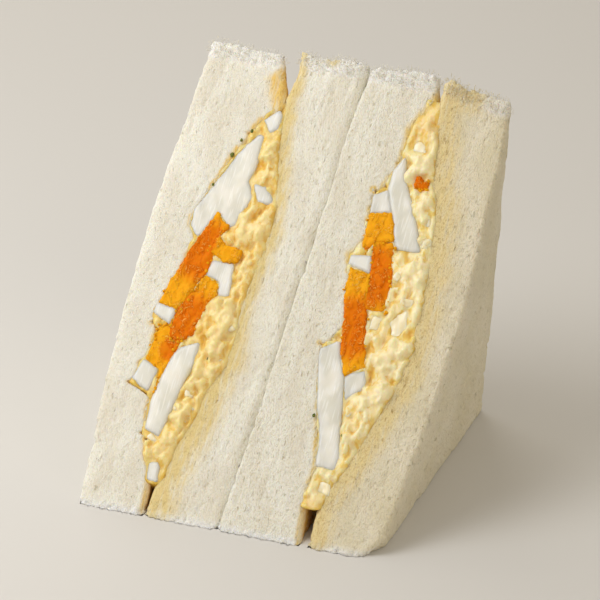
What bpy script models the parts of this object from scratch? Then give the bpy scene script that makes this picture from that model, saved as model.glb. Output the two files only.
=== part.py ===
"""Egg salad sandwich, cut in two along its diagonal, with both halves standing side by side.

Each half is a right-angled triangle of crustless white bread, filled, that stands on one short side.
The other short side is the upright back, and the long cut side leans back and shows the filling.
Units are metres. X runs across the slices, the cut faces -Y and up, and the sandwich rests on z = 0.

Pieces of egg are placed in the frame of the cut face, (x, u, w): u climbs the cut from its bottom
edge, and w points out of it, so a depth inside the sandwich is a negative w.
"""

import math
import random
from typing import NamedTuple

import bmesh
import bpy
import numpy as np
from mathutils import Matrix, Vector, noise

LEG = 0.095  # short side of the bread's triangle
GAP = 0.0003  # clearance between neighbours
SALAD_GAP = 0.0007  # the salad's to the bread, as both surfaces are faceted

FLANK_LOW = 0.0412  # x of the outer flanks at their bottom edge
FLANK_CORNER = 0.0406  # and at the right-angled corner
FLANK_TOP = 0.0443  # and at the top
FLANK_BULGE = 0.0039  # how far the flanks swell over the filling
BULGE_REACH = 0.0475  # distance from an edge at which the flank's swelling is complete
TUCK = 0.0045  # how far the right flank curls in at its bottom corner
TUCK_REACH = 0.0070

JOINT_LOW = -0.0018  # x at which the two halves touch, at the bottom of the cut
JOINT_TOP = 0.0040  # and at its top
JOINT_PART = 0.0007  # each half leans away by this at the very top
JOINT_PART_REACH = 0.0120

FILLING_SLOPE = 0.0080  # the filling swells from this distance to the short sides
FILLING_PLATEAU = 0.0300  # and is at its thickest from here on
FILLING_FLOOR = 0.0073  # it stops this far above the floor

BREAD_CELLS = 20  # squares along a short side of a bread slice
BREAD_LAYERS = 3
SALAD_CELLS = 19
SALAD_LAYERS = 6
UNEVEN = 0.0004  # waviness of the bread's surfaces
UNEVEN_SIZE = 0.0220
RAGGED = 0.0013  # deepest notch in the torn top edge
LUMP = 0.0020  # height of the lumps of the egg salad
LUMP_SIZE = 0.0065
LUMP_SINK = 0.0004  # the salad's face lies this far under the bread's
EGG_PROUD = 0.0003  # the egg slices stand this far out of the cut
CHUNK_PROUD = 0.0005
YOLK_DEPTH = 0.95  # a yolk's depth for its length, as a share of the white's
CUTTER_RISE = 0.0040  # how far a cutter passes the surface that it cuts
DISC_SEGMENTS = 28
SEED = 7

TO_CUT_FRAME = Matrix.Rotation(math.radians(45), 4, "X")  # takes (x, u, w) to (x, y, z)

FINISHES = {
    "bread": ((0.87, 0.82, 0.68, 1), 0.9),
    "salad": ((0.91, 0.76, 0.38, 1), 0.5),
    "egg_white": ((0.92, 0.90, 0.84, 1), 0.35),
    "yolk": ((0.88, 0.38, 0.05, 1), 0.6),
}


class Half(NamedTuple):
    """Where a half's filling lies. middle_low and middle_high are x of its middle at the bottom and
    top of the cut, and bow is how far its middle leans out between them. thick is half its thickness
    in the middle of the cut, part_low and part_high are half the gap between the slices at their
    bottom and top edges, and back is how far the filling stops short of the upright back."""

    name: str
    middle_low: float
    middle_high: float
    bow: float
    thick: float
    part_low: float
    part_high: float
    back: float


class EggSlice(NamedTuple):
    """A slice of boiled egg that the knife halved. Ends are (x, u) on the cut, top end first.

    yolk holds where the yolk starts and ends as shares of the length, or None where none shows."""

    name: str
    top: tuple
    bottom: tuple
    thickness: float
    depth: float
    yolk: tuple = None


class Chunk(NamedTuple):
    """A diced bit at (x, u) on the cut, with its sizes along x, u and w and its turn in degrees."""

    name: str
    centre: tuple
    size: tuple
    turn: float
    finish: str = "egg_white"


LEFT = Half("left", -0.0236, -0.0186, -0.0012, 0.0107, 0.0018, 0.0031, 0.0100)
RIGHT = Half("right", 0.0214, 0.0242, 0.0016, 0.0103, 0.0022, 0.0022, 0.0055)

EGG_SLICES = {
    "left": [
        EggSlice("egg_left_upper", (-0.0228, 0.1115), (-0.0334, 0.0530), 0.0062, 0.020, (0.42, 0.90)),
        EggSlice("egg_left_lower", (-0.0205, 0.0740), (-0.0266, 0.0220), 0.0066, 0.018, (0.10, 0.50)),
    ],
    "right": [
        EggSlice("egg_right_top", (0.0197, 0.1112), (0.0285, 0.0862), 0.0056, 0.010),
        EggSlice("egg_right_middle", (0.0160, 0.0830), (0.0238, 0.0415), 0.0055, 0.016, (0.13, 0.79)),
        EggSlice("egg_right_bottom", (0.0136, 0.0570), (0.0223, 0.0215), 0.0060, 0.012),
    ],
}

CHUNKS = {
    "left": [
        Chunk("white_left_top", (-0.0188, 0.1158), (0.0042, 0.0060, 0.006), -14),
        Chunk("white_left_patch", (-0.0152, 0.0950), (0.0070, 0.0044, 0.006), -28),
        Chunk("yolk_left_small", (-0.0320, 0.0455), (0.0058, 0.0072, 0.008), -14, "yolk"),
        Chunk("white_left_small", (-0.0340, 0.0383), (0.0058, 0.0062, 0.008), -14),
        Chunk("crumb_left", (-0.0203, 0.0770), (0.0048, 0.0036, 0.004), 10, "yolk"),
        Chunk("white_left_foot", (-0.0237, 0.0130), (0.0026, 0.0052, 0.006), -8),
    ],
    "right": [
        Chunk("white_right_block", (0.0166, 0.0985), (0.0050, 0.0060, 0.008), -8),
        Chunk("yolk_right_upper", (0.0182, 0.0915), (0.0054, 0.0068, 0.008), -8, "yolk"),
        Chunk("yolk_right_side", (0.0234, 0.0774), (0.0050, 0.0190, 0.009), 8, "yolk"),
        Chunk("white_right_cube", (0.0255, 0.0640), (0.0040, 0.0046, 0.005), 6),
        Chunk("white_right_oval", (0.0310, 0.0650), (0.0046, 0.0076, 0.005), 4),
        Chunk("white_right_top", (0.0236, 0.1150), (0.0038, 0.0036, 0.004), 12),
        Chunk("crumb_right", (0.0283, 0.1052), (0.0042, 0.0032, 0.004), -12, "yolk"),
        Chunk("white_right_foot", (0.0229, 0.0176), (0.0034, 0.0034, 0.004), -20),
    ],
}


def clear_scene():
    """Remove every object of the startup scene."""
    for obj in list(bpy.data.objects):
        bpy.data.objects.remove(obj, do_unlink=True)


def soft_step(low, high, value):
    """0 below low and 1 above high, with an S between them."""
    share = min(1.0, max(0.0, (value - low) / (high - low)))
    return share * share * (3 - 2 * share)


def mix(first, second, share):
    """The value that lies at this share of the way from first to second."""
    return first + (second - first) * share


def waves(y, z, seed):
    """Slow unevenness of a bread surface, from about -1 to 1."""
    return noise.noise(Vector((y / UNEVEN_SIZE, z / UNEVEN_SIZE, seed)))


def filling_swell(y, z):
    """0 near the two short sides, 1 where the filling is at its thickest."""
    from_floor = soft_step(FILLING_SLOPE, FILLING_PLATEAU, z)
    return from_floor * soft_step(FILLING_SLOPE, FILLING_PLATEAU, LEG - y)


def filling_side(half, side):
    """A function of (y, z) that gives x of the filling's side: -1 for its left one, 1 for its right."""

    def surface(y, z):
        swell = filling_swell(y, z)
        middle = mix(half.middle_low, half.middle_high, (y + z) / (2 * LEG)) + half.bow * swell
        part = mix(half.part_low, half.part_high, z / LEG)
        uneven = UNEVEN * waves(y, z, side * 3.1 + half.middle_low * 1000)
        return middle + side * mix(part, half.thick, swell) + uneven

    return surface


def flank(side):
    """A function of (y, z) that gives x of the outer flank on this side."""

    def surface(y, z):
        low = mix(FLANK_LOW, FLANK_CORNER, min(1.0, y / LEG))
        base = mix(low, FLANK_TOP if side > 0 else FLANK_LOW, z / LEG)
        floor_share = min(1.0, z / BULGE_REACH)
        back_share = min(1.0, max(0.0, LEG - y) / BULGE_REACH)
        swell = math.sin(math.pi / 2 * floor_share) * math.sin(math.pi / 2 * back_share)
        tuck = 1 - soft_step(0, TUCK_REACH, (y + z) / math.sqrt(2)) if side > 0 else 0
        return side * (base + FLANK_BULGE * swell - TUCK * tuck) + UNEVEN * waves(y, z, side * 9.7)

    return surface


def joint(offset):
    """A function of (y, z) that gives x where the halves meet, moved by offset. They part at the top."""

    def surface(y, z):
        height = (y + z) / (2 * LEG)
        part = JOINT_PART * soft_step(LEG - JOINT_PART_REACH, LEG, z)
        place = mix(JOINT_LOW, JOINT_TOP, height) + UNEVEN * waves(y, z, 21.3)
        return place + offset + math.copysign(part, offset)

    return surface


def triangular_slab(floor, back, cells, layers):
    """A triangular slab with x from 0 to 1 through it, its long side facing -Y and +Z.

    Its short sides lie on z = floor and y = back."""
    middle = (floor + back) / 2
    bm = bmesh.new()
    lay = Matrix.Translation((0, middle, middle)) @ Matrix.Rotation(math.radians(90), 4, "Y")
    bmesh.ops.create_grid(bm, x_segments=cells, y_segments=cells, size=middle - floor, matrix=lay)
    everything = bm.verts[:] + bm.edges[:] + bm.faces[:]
    normal = Vector((0, -1, 1))
    bmesh.ops.bisect_plane(
        bm, geom=everything, dist=1e-6, plane_co=(0, 0, 0), plane_no=normal, clear_outer=True
    )
    through = bmesh.ops.extrude_face_region(bm, geom=bm.faces[:])
    moved = [item for item in through["geom"] if isinstance(item, bmesh.types.BMVert)]
    bmesh.ops.translate(bm, vec=(1, 0, 0), verts=moved)
    across = [edge for edge in bm.edges if abs(edge.verts[0].co.x - edge.verts[1].co.x) > 0.5]
    bmesh.ops.subdivide_edges(bm, edges=across, cuts=layers - 1)
    bmesh.ops.recalc_face_normals(bm, faces=bm.faces[:])
    return bm


def spread_between(bm, left, right):
    """Move a slab's points so that x from 0 to 1 runs from one surface to the other."""
    for vert in bm.verts:
        _, y, z = vert.co
        vert.co.x = mix(left(y, z), right(y, z), vert.co.x)


def add_object(name, bm, finish, collection):
    """Make an object of the mesh, with this finish's material."""
    mesh = bpy.data.meshes.new(name)
    bm.to_mesh(mesh)
    bm.free()
    mesh.materials.append(bpy.data.materials[finish])
    obj = bpy.data.objects.new(name, mesh)
    collection.objects.link(obj)
    return obj


def make_materials():
    """One plain material for each finish."""
    for name, (colour, roughness) in FINISHES.items():
        material = bpy.data.materials.new(name)
        material.use_nodes = True
        shader = material.node_tree.nodes["Principled BSDF"]
        shader.inputs["Base Color"].default_value = colour
        shader.inputs["Roughness"].default_value = roughness
        shader.inputs["Metallic"].default_value = 0
        material.diffuse_color = colour


def bread_slice(name, leg, left, right, collection):
    """A triangular slice of bread between two surfaces, its top edge torn unevenly."""
    bm = triangular_slab(0, leg, BREAD_CELLS, BREAD_LAYERS)
    spread_between(bm, left, right)
    draw = random.Random(f"{SEED} {name}")
    for vert in bm.verts:
        if vert.co.z > leg - 0.001:
            vert.co.z -= draw.uniform(0, RAGGED)
    return add_object(name, bm, "bread", collection)


def egg_salad(half, collection):
    """The chopped filling of a half, with a lumpy face at the cut."""
    bm = triangular_slab(FILLING_FLOOR, LEG - half.back, SALAD_CELLS, SALAD_LAYERS)
    left, right = filling_side(half, -1), filling_side(half, 1)
    on_cut = [vert for vert in bm.verts if vert.co.y - vert.co.z < 1e-5]
    spread_between(bm, lambda y, z: left(y, z) + SALAD_GAP, lambda y, z: right(y, z) - SALAD_GAP)
    out = Vector((0, -1, 1)).normalized()
    for vert in on_cut:
        vert.co += out * (LUMP * noise.noise(vert.co / LUMP_SIZE) - LUMP_SINK)
    return add_object(f"egg_salad_{half.name}", bm, "salad", collection)


def half_disc(top, bottom, thickness, depth, face):
    """Half of an oval disc that stands on its edge under the cut, its flat side at height w = face."""
    top, bottom = Vector((*top, 0)), Vector((*bottom, 0))
    along = (top - bottom).normalized()
    out = Vector((0, 0, 1))
    through = along.cross(out)
    radius = (top - bottom).length / 2
    basis = Matrix((along, out, through)).transposed().to_4x4()
    shape = Matrix.Diagonal((1, depth / radius, 1, 1))
    place = Matrix.Translation((top + bottom) / 2) @ basis @ shape
    bm = bmesh.new()
    bmesh.ops.create_cone(
        bm, cap_ends=True, segments=DISC_SEGMENTS, radius1=radius, radius2=radius, depth=thickness,
        matrix=place,
    )
    everything = bm.verts[:] + bm.edges[:] + bm.faces[:]
    bmesh.ops.bisect_plane(
        bm, geom=everything, dist=1e-6, plane_co=(0, 0, face), plane_no=out, clear_outer=True
    )
    bmesh.ops.holes_fill(bm, edges=[edge for edge in bm.edges if edge.is_boundary])
    bmesh.ops.recalc_face_normals(bm, faces=bm.faces[:])
    bmesh.ops.transform(bm, matrix=TO_CUT_FRAME, verts=bm.verts[:])
    return bm


def longer(top, bottom, by):
    """The two ends of an axis, each moved out by this much."""
    top, bottom = Vector(top), Vector(bottom)
    step = (top - bottom).normalized() * by
    return tuple(top + step), tuple(bottom - step)


def chunk_solid(chunk, grow):
    """A diced bit with its top at the cut, larger by grow on every side."""
    sizes = Vector(chunk.size) + Vector((2 * grow,) * 3)
    turn = Matrix.Rotation(math.radians(chunk.turn), 4, "Z")
    place = Matrix.Translation((*chunk.centre, CHUNK_PROUD - chunk.size[2] / 2)) @ turn
    bm = bmesh.new()
    bmesh.ops.create_cube(bm, size=1, matrix=TO_CUT_FRAME @ place @ Matrix.Diagonal((*sizes, 1)))
    return bm


def add_cutter(name, bm, half, cutters):
    """Keep a closed mesh as a hidden cutter of this half."""
    cutter = add_object(f"cutter_{name}", bm, "egg_white", cutters[half])
    cutter.hide_render = True
    cutter.display_type = "WIRE"
    return cutter


def cut_with(obj, operand):
    """Take an object, or every object of a collection, out of this one, and keep its main body."""
    cut = obj.modifiers.new("cut", "BOOLEAN")
    cut.operation = "DIFFERENCE"
    if isinstance(operand, bpy.types.Collection):
        cut.operand_type = "COLLECTION"
        cut.collection = operand
    else:
        cut.object = operand
    graph = bpy.context.evaluated_depsgraph_get()
    mesh = bpy.data.meshes.new_from_object(obj.evaluated_get(graph))
    obj.modifiers.remove(cut)
    obj.data = mesh
    keep_main_body(mesh)


def keep_main_body(mesh):
    """Drop the scraps that a cut left loose."""
    bm = bmesh.new()
    bm.from_mesh(mesh)
    bmesh.ops.remove_doubles(bm, verts=bm.verts[:], dist=2e-6)
    waiting = set(bm.verts)
    bodies = []
    while waiting:
        reached = [waiting.pop()]
        body = set(reached)
        while reached:
            vert = reached.pop()
            near = {edge.other_vert(vert) for edge in vert.link_edges} & waiting
            waiting -= near
            body |= near
            reached.extend(near)
        bodies.append(body)
    bodies.sort(key=len, reverse=True)
    scraps = [vert for body in bodies[1:] for vert in body]
    bmesh.ops.delete(bm, geom=scraps, context="VERTS")
    bm.to_mesh(mesh)
    bm.free()


def egg_slice(egg, half, collection, cutters):
    """The white of an egg slice and the yolk that sits through it, with the cutter for both."""
    white = half_disc(egg.top, egg.bottom, egg.thickness, egg.depth, EGG_PROUD)
    white = add_object(f"{egg.name}_white", white, "egg_white", collection)
    ends = longer(egg.top, egg.bottom, GAP)
    wide = half_disc(*ends, egg.thickness + 2 * GAP, egg.depth + GAP, CUTTER_RISE)
    add_cutter(egg.name, wide, half, cutters)
    if egg.yolk is None:
        return
    top, bottom = Vector(egg.top), Vector(egg.bottom)
    ends = [tuple(mix(top, bottom, share)) for share in egg.yolk]
    depth = egg.depth * (egg.yolk[1] - egg.yolk[0]) * YOLK_DEPTH
    yolk = half_disc(*ends, egg.thickness, depth, 0.0)
    add_object(f"{egg.name}_yolk", yolk, "yolk", collection)
    hole = half_disc(*longer(*ends, GAP), egg.thickness + CUTTER_RISE, depth + GAP, CUTTER_RISE)
    hole = add_cutter(f"{egg.name}_yolk", hole, "yolks", cutters)
    cut_with(white, hole)


def build_bread(collection):
    """The four slices, from left to right. Their legs differ a little, as real slices do."""
    joint_left, joint_right = joint(-GAP / 2), joint(GAP / 2)
    return [
        bread_slice("bread_1", LEG + 0.0009, flank(-1), filling_side(LEFT, -1), collection),
        bread_slice("bread_2", LEG + 0.0020, filling_side(LEFT, 1), joint_left, collection),
        bread_slice("bread_3", LEG + 0.0018, joint_right, filling_side(RIGHT, -1), collection),
        bread_slice("bread_4", LEG - 0.0006, filling_side(RIGHT, 1), flank(1), collection),
    ]


def centre_on_origin(collection):
    """Put the middle of the sandwich's base at the origin."""
    bpy.context.view_layer.update()
    points = np.array([obj.matrix_world @ v.co for obj in collection.objects for v in obj.data.vertices])
    low, high = points.min(axis=0), points.max(axis=0)
    move = Matrix.Translation((-(low[0] + high[0]) / 2, -(low[1] + high[1]) / 2, -low[2]))
    for obj in collection.objects:
        obj.data.transform(move)


def main():
    """Build the sandwich."""
    clear_scene()
    make_materials()
    sandwich = bpy.data.collections.new("egg_salad_sandwich")
    bpy.context.scene.collection.children.link(sandwich)
    cutters = {}
    for name in ("left", "right", "yolks"):
        cutters[name] = bpy.data.collections.new(f"cutters_{name}")
        bpy.context.scene.collection.children.link(cutters[name])
        cutters[name].hide_render = True
    slices = build_bread(sandwich)
    salads = [egg_salad(half, sandwich) for half in (LEFT, RIGHT)]
    for half in (LEFT, RIGHT):
        for egg in EGG_SLICES[half.name]:
            egg_slice(egg, half.name, sandwich, cutters)
        for chunk in CHUNKS[half.name]:
            add_object(chunk.name, chunk_solid(chunk, 0), chunk.finish, sandwich)
            add_cutter(chunk.name, chunk_solid(chunk, GAP), half.name, cutters)
    for obj, half in zip(slices + salads, ("left", "left", "right", "right", "left", "right")):
        cut_with(obj, cutters[half])
    centre_on_origin(sandwich)


main()
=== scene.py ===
"""The looks of an egg salad sandwich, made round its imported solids.

Each piece is worked on with the cut face lying flat, in the frame of the cut, (x, u, w): x runs
across the slices, u climbs the cut from its bottom edge, and w points out of it. The finished piece is
then stood up into the sandwich. Units are metres.
"""

import logging
import math
import random
from dataclasses import dataclass
from enum import Enum

import bpy
import numpy as np
from mathutils import Matrix, Vector
from mathutils.bvhtree import BVHTree


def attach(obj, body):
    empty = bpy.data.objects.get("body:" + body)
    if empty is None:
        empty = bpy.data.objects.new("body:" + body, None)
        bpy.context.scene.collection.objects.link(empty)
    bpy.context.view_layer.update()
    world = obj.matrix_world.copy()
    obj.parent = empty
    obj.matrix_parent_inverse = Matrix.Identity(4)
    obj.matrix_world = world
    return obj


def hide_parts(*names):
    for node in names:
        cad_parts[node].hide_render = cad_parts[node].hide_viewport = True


Point = tuple[float, float]
Size = tuple[float, float, float]
Colour = tuple[float, float, float, float]

log = logging.getLogger("sandwich")
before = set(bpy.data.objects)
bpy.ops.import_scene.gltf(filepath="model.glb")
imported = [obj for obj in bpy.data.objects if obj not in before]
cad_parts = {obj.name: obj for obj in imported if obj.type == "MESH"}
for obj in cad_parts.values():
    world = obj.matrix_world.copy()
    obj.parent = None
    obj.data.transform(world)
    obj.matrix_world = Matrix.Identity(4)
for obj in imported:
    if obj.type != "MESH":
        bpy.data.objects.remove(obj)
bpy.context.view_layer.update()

LEG = 0.095  # short side of the bread's triangle
CUT_FOOT = Vector((-0.00095, -0.0485, 0.0))  # where x and u are 0, in the sandwich's frame
LEAN = math.radians(45)  # the cut leans back by this
STAND_UP = Matrix.Translation(CUT_FOOT) @ Matrix.Rotation(LEAN, 4, "X")
UPWARDS = STAND_UP.inverted().to_3x3() @ Vector((0, 0, 1))
FLOOR_CLEAR = 0.00002  # how far the lowest points stay off the floor
BODY = "root"


class Side(Enum):
    """The side of a slice that faces its filling."""

    LEFT = -1
    RIGHT = 1


class Slot(Enum):
    """The record's material slots."""

    BREAD = "bread"
    SALAD = "salad"
    WHITE = "egg_white"
    YOLK = "yolk"


def srgb(red: int, green: int, blue: int) -> Colour:
    """Turn a colour as a screen shows it into linear light.

    Args:
        red: Red from 0 to 255.
        green: Green from 0 to 255.
        blue: Blue from 0 to 255.

    Returns:
        The linear colour with an alpha of 1.
    """
    shares = [value / 255 for value in (red, green, blue)]
    linear = [s / 12.92 if s < 0.04045 else ((s + 0.055) / 1.055) ** 2.4 for s in shares]
    return (*linear, 1.0)


def soft_step(low: float, high: float, value: np.ndarray) -> np.ndarray:
    """Rise from 0 to 1 between two values.

    Args:
        low: Where it is still 0.
        high: Where it is 1.
        value: The values to judge.

    Returns:
        The shares, from 0 to 1.
    """
    share = np.clip((value - low) / (high - low), 0, 1)
    return share * share * (3 - 2 * share)


def height_above_floor(points: np.ndarray) -> np.ndarray:
    """Give the height of points in the frame of the cut above the floor."""
    return (points[:, 1] + points[:, 2]) / math.sqrt(2)


def outside_by(corners: tuple[Point, ...], x: np.ndarray, u: np.ndarray) -> np.ndarray:
    """Tell how far outside an outline each spot lies, below 0 inside it.

    Args:
        corners: The outline's corners in order.
        x: Each spot's place across.
        u: Each spot's height on the cut.

    Returns:
        The distances in metres.
    """
    inside = np.zeros(np.shape(x), bool)
    away = np.full(np.shape(x), np.inf)
    for (x_a, u_a), (x_b, u_b) in zip(corners, (*corners[1:], corners[0])):
        along_x, along_u = x_b - x_a, u_b - u_a
        share = ((x - x_a) * along_x + (u - u_a) * along_u) / (along_x**2 + along_u**2)
        share = np.clip(share, 0, 1)
        away = np.minimum(away, np.hypot(x - x_a - share * along_x, u - u_a - share * along_u))
        if along_u:
            inside = inside ^ (((u_a > u) != (u_b > u)) & (x < x_a + along_x * (u - u_a) / along_u))
    return np.where(inside, -away, away)


class Value:
    """A number in a shader that takes Python's operators."""

    def __init__(self, shader: "Shader", socket: bpy.types.NodeSocket) -> None:
        """Hold an output socket of this shader."""
        self.shader = shader
        self.socket = socket

    def _math(self, operation: str, first: object, second: object) -> "Value":
        """Add a Math node with this operation."""
        made = self.shader.node("Math", {"operation": operation}, {0: first, 1: second})
        return Value(self.shader, made.outputs[0])

    def __add__(self, other: object) -> "Value":
        """Sum."""
        return self._math("ADD", self, other)

    def __radd__(self, other: object) -> "Value":
        """Sum with the number first."""
        return self._math("ADD", other, self)

    def __sub__(self, other: object) -> "Value":
        """Difference."""
        return self._math("SUBTRACT", self, other)

    def __rsub__(self, other: object) -> "Value":
        """Difference with the number first."""
        return self._math("SUBTRACT", other, self)

    def __mul__(self, other: object) -> "Value":
        """Product."""
        return self._math("MULTIPLY", self, other)

    def __rmul__(self, other: object) -> "Value":
        """Product with the number first."""
        return self._math("MULTIPLY", other, self)


class Shader:
    """A material and the nodes that feed its shader."""

    def __init__(self, name: str) -> None:
        """Start a material with a plain surface.

        Args:
            name: The material's name.
        """
        self.material = bpy.data.materials.new(name)
        self.material.use_nodes = True
        self.tree = self.material.node_tree
        self.surface = self.tree.nodes["Principled BSDF"]

    def node(self, kind: str, settings: dict | None = None, sockets: dict | None = None) -> bpy.types.Node:
        """Add any node.

        Args:
            kind: The node's type without its prefix.
            settings: Its own settings, made before its sockets are fed.
            sockets: Values or links, by the socket's name or number.

        Returns:
            The node.
        """
        made = self.tree.nodes.new(f"ShaderNode{kind}")
        for name, value in (settings or {}).items():
            setattr(made, name, value)
        for name, value in (sockets or {}).items():
            self.feed(made.inputs[name], value)
        return made

    def feed(self, socket: bpy.types.NodeSocket, value: object) -> None:
        """Link or set a socket.

        Args:
            socket: The input.
            value: A Value, an output socket, or a number, colour or vector.
        """
        if isinstance(value, Value):
            self.tree.links.new(value.socket, socket)
        elif isinstance(value, bpy.types.NodeSocket):
            self.tree.links.new(value, socket)
        else:
            socket.default_value = value

    def set(self, **values: object) -> None:
        """Feed the surface's sockets, named in lower case with underscores."""
        for name, value in values.items():
            self.feed(self.surface.inputs[name.replace("_", " ").title().replace("Ior", "IOR")], value)

    def cut_place(self) -> bpy.types.NodeSocket:
        """Give the place in the frame of the cut.

        Returns:
            The place as a vector, (x, u, w).
        """
        lay = STAND_UP.inverted()
        where = self.node("TexCoord").outputs["Object"]
        turn = {"Vector": where, "Location": lay.translation, "Rotation": (-LEAN, 0.0, 0.0)}
        return self.node("Mapping", {"vector_type": "POINT"}, turn).outputs["Vector"]

    def part_of(self, place: bpy.types.NodeSocket, axis: str) -> Value:
        """Give one coordinate of a place: X, Y or Z."""
        return Value(self, self.node("SeparateXYZ", None, {"Vector": place}).outputs[axis])

    def grain(self, place: bpy.types.NodeSocket, size: Size, detail: float = 2.0,
              distortion: float = 0.0) -> Value:
        """Give noise whose blobs have this size along x, u and w.

        Args:
            place: The place to read it at.
            size: The blobs' size along each axis.
            detail: How many finer layers it has.
            distortion: How much it is warped.

        Returns:
            The noise, from 0 to 1 and mostly near 0.5.
        """
        finer = tuple(1 / length for length in size)
        scaled = self.node("VectorMath", {"operation": "MULTIPLY"}, {0: place, 1: finer}).outputs[0]
        values = {"Vector": scaled, "Scale": 1.0, "Detail": detail, "Distortion": distortion}
        return Value(self, self.node("TexNoise", None, values).outputs[0])

    def step(self, value: Value, low: float, high: float) -> Value:
        """Rise smoothly from 0 to 1 between two values, or fall where low is above high.

        Args:
            value: The number to judge.
            low: Where it gives 0.
            high: Where it gives 1.

        Returns:
            The share, from 0 to 1.
        """
        values = {"Value": value, "From Min": low, "From Max": high}
        settings = {"interpolation_type": "SMOOTHSTEP"}
        return Value(self, self.node("MapRange", settings, values).outputs["Result"])

    def blend(self, share: object, first: object, second: object) -> bpy.types.NodeSocket:
        """Mix two colours by a share."""
        made = self.node("Mix", {"data_type": "RGBA"}, {0: share, 6: first, 7: second})
        return made.outputs[2]

    def attribute(self, name: str) -> Value:
        """Read a number that the mesh carries at its points."""
        return Value(self, self.node("Attribute", {"attribute_name": name}).outputs["Fac"])

    def relief(self, height: Value, distance: float) -> bpy.types.NodeSocket:
        """Make a bump of this height in metres."""
        values = {"Height": height, "Distance": distance, "Strength": 1.0}
        return self.node("Bump", None, values).outputs["Normal"]


@dataclass(frozen=True)
class BreadFinish:
    """Soft white crumb, its pores stretched in the plane of the slice, soaked near the filling."""

    name: str
    pore_shade_strength: float  # how strongly the painted shade in the pores shows
    soaked: Colour  # where the filling has soaked in
    crumb: Colour = srgb(241, 239, 227)
    shade: Colour = srgb(233, 228, 213)
    # Painted shade: the colour that the pores and the grain's low spots are darkened to.
    pore_shade: Colour = srgb(213, 204, 176)
    # Smeared egg on the walls facing the filling, darkened with painted shade deeper in the gap.
    amber: Colour = srgb(206, 152, 38)
    # Painted shade in the pores on soaked yellow crumb.
    stained_pore_shade: Colour = srgb(204, 168, 92)
    # Painted highlight: torn edges lightened as if rim-lit from behind.
    torn_edge_highlight: Colour = srgb(251, 250, 246)
    grain_size: Size = (0.00036, 0.0007, 0.0007)
    pore_size: Size = (0.0007, 0.0020, 0.0018)
    patch_size: Size = (0.0060, 0.0180, 0.0180)
    streak_size: Size = (0.0010, 0.0060, 0.0050)
    relief_depth: float = 0.00045

    def material(self) -> bpy.types.Material:
        """Make the bread's material.

        Returns:
            The material.
        """
        make = Shader(self.name)
        place = make.cut_place()
        grain = make.grain(place, self.grain_size, 3.0, 0.4)
        hole = make.step(make.grain(place, self.pore_size, 2.0, 0.3), 0.36, 0.27)
        patch = make.grain(place, self.patch_size, 1.0)
        streak = make.grain(place, self.streak_size, 3.0, 0.5)
        soak = make.attribute("soak")
        soaked = make.step(soak + (streak - 0.5) * soak * 2.2, 0.0, 1.0)
        # Painted shade for the pores, yellower where the filling has soaked in.
        deep = make.blend(soaked * 0.7, self.pore_shade, self.stained_pore_shade)
        colour = make.blend(make.step(patch, 0.35, 0.68), self.crumb, self.shade)
        colour = make.blend(soaked * 0.85, colour, self.soaked)
        # Smeared egg and painted shade on the walls facing the filling, more of it deeper below the cut.
        colour = make.blend(make.attribute("inside") * 0.85, colour, self.amber)
        # Painted shade where the grain and the pores are sunk in the relief.
        colour = make.blend(make.step(grain, 0.48, 0.36) * (0.5 * self.pore_shade_strength), colour, deep)
        colour = make.blend(hole * (0.8 * self.pore_shade_strength), colour, deep)
        # Painted rim highlight on the torn edges, weaker where soaked.
        colour = make.blend(make.attribute("torn_edge_highlight") * (0.7 - 0.6 * soaked), colour, self.torn_edge_highlight)
        make.set(base_color=colour, roughness=0.86, subsurface_weight=0.25, subsurface_scale=0.0025)
        make.set(subsurface_radius=(1.0, 0.8, 0.5), specular_ior_level=0.25)
        make.set(normal=make.relief(grain - 0.5 * hole, self.relief_depth))
        return make.material


@dataclass(frozen=True)
class SaladFinish:
    """Chopped egg in mayonnaise: pale on its lumps, with a painted highlight where raised and painted shade
    in its hollows, glossy.
    """

    name: str = "chopped_egg_in_mayonnaise"
    # Painted highlight on the raised lumps.
    lump_highlight: Colour = srgb(250, 238, 198)
    pale: Colour = srgb(245, 226, 168)
    yellow: Colour = srgb(240, 208, 114)
    # Painted shade in the hollows.
    hollow_shade: Colour = srgb(228, 176, 58)
    amber: Colour = srgb(236, 186, 66)
    top_end: float = 0.1210  # u at which it ends in the gap between the slices
    low_end: float = 0.0110
    lump_size: Size = (0.0024, 0.0042, 0.0036)
    curd_size: Size = (0.0012, 0.0018, 0.0016)
    fine_size: Size = (0.0005, 0.0006, 0.0006)

    def material(self) -> bpy.types.Material:
        """Make the salad's material.

        Returns:
            The material.
        """
        make = Shader(self.name)
        place = make.cut_place()
        height = make.part_of(place, "Z")
        lump = make.grain(place, self.lump_size, 2.0, 0.6)
        curd = make.grain(place, self.curd_size, 3.0, 0.8)
        fine = make.grain(place, self.fine_size, 2.0)
        colour = make.blend(make.step(lump, 0.40, 0.58), self.yellow, self.pale)
        # Painted highlight where the surface is raised.
        raised = make.step(height + 0.004 * (curd - 0.5), 0.0003, 0.0013)
        colour = make.blend(raised * 0.8, colour, self.lump_highlight)
        # Painted shade where the surface is sunk.
        sunk = make.step(height + 0.003 * (lump - 0.5), 0.0002, -0.0009)
        colour = make.blend(sunk * 0.8, colour, self.hollow_shade)
        up = make.part_of(place, "Y")
        top = make.step(up + 0.008 * (curd - 0.5), self.top_end - 0.006, self.top_end)
        low = make.step(up, self.low_end + 0.005, self.low_end)
        colour = make.blend(top * 0.35 + low * 0.5, colour, self.amber)
        make.set(base_color=colour, roughness=0.32 + 0.2 * curd, subsurface_weight=0.5)
        make.set(subsurface_radius=(1.0, 0.72, 0.25), subsurface_scale=0.003, coat_weight=0.12)
        make.set(coat_roughness=0.25, normal=make.relief(curd + 0.3 * fine, 0.0003))
        return make.material


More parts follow.
